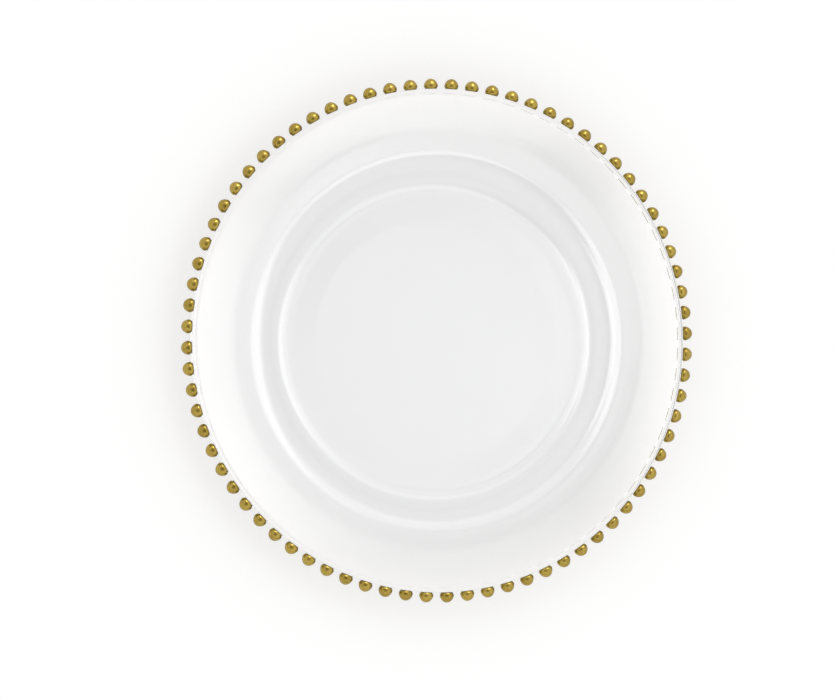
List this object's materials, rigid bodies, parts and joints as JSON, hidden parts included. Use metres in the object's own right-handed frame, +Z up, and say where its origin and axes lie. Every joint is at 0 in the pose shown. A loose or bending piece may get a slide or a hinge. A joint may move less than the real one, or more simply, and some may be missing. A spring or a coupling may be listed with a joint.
{
  "type": "charger plate",
  "caption": "Round clear glass charger plate with a shallow well, a wide flange, a rolled lip edged with gold beads and a low foot ring.",
  "frame": {"origin": "centre of the foot ring's underside, on the plate's axis and on the surface that the plate stands on", "axes": "+Z up along the plate's axis; +X through the middle of the first bead, +Y completes the right-handed set"},
  "size_m": [0.33, 0.33, 0.0207],
  "materials": {
    "clear_glass": "polished",
    "gilded_beads": "satin"
  },
  "bodies": {
    "root": {"glass_plate": "clear_glass", "gold_bead_pair_01": "gilded_beads", "gold_bead_pair_02": "gilded_beads", "gold_bead_pair_03": "gilded_beads", "gold_bead_pair_04": "gilded_beads", "gold_bead_pair_05": "gilded_beads", "gold_bead_pair_06": "gilded_beads", "gold_bead_pair_07": "gilded_beads", "gold_bead_pair_08": "gilded_beads", "gold_bead_pair_09": "gilded_beads", "gold_bead_pair_10": "gilded_beads", "gold_bead_pair_11": "gilded_beads", "gold_bead_pair_12": "gilded_beads", "gold_bead_pair_13": "gilded_beads", "gold_bead_pair_14": "gilded_beads", "gold_bead_pair_15": "gilded_beads", "gold_bead_pair_16": "gilded_beads", "gold_bead_pair_17": "gilded_beads", "gold_bead_pair_18": "gilded_beads", "gold_bead_pair_19": "gilded_beads", "gold_bead_pair_20": "gilded_beads", "gold_bead_pair_21": "gilded_beads", "gold_bead_pair_22": "gilded_beads", "gold_bead_pair_23": "gilded_beads", "gold_bead_pair_24": "gilded_beads", "gold_bead_pair_25": "gilded_beads", "gold_bead_pair_26": "gilded_beads", "gold_bead_pair_27": "gilded_beads", "gold_bead_pair_28": "gilded_beads", "gold_bead_pair_29": "gilded_beads", "gold_bead_pair_30": "gilded_beads", "gold_bead_pair_31": "gilded_beads", "gold_bead_pair_32": "gilded_beads", "gold_bead_pair_33": "gilded_beads", "gold_bead_pair_34": "gilded_beads", "gold_bead_pair_35": "gilded_beads", "gold_bead_pair_36": "gilded_beads", "gold_bead_pair_37": "gilded_beads", "gold_bead_pair_38": "gilded_beads"}
  },
  "joints": []
}
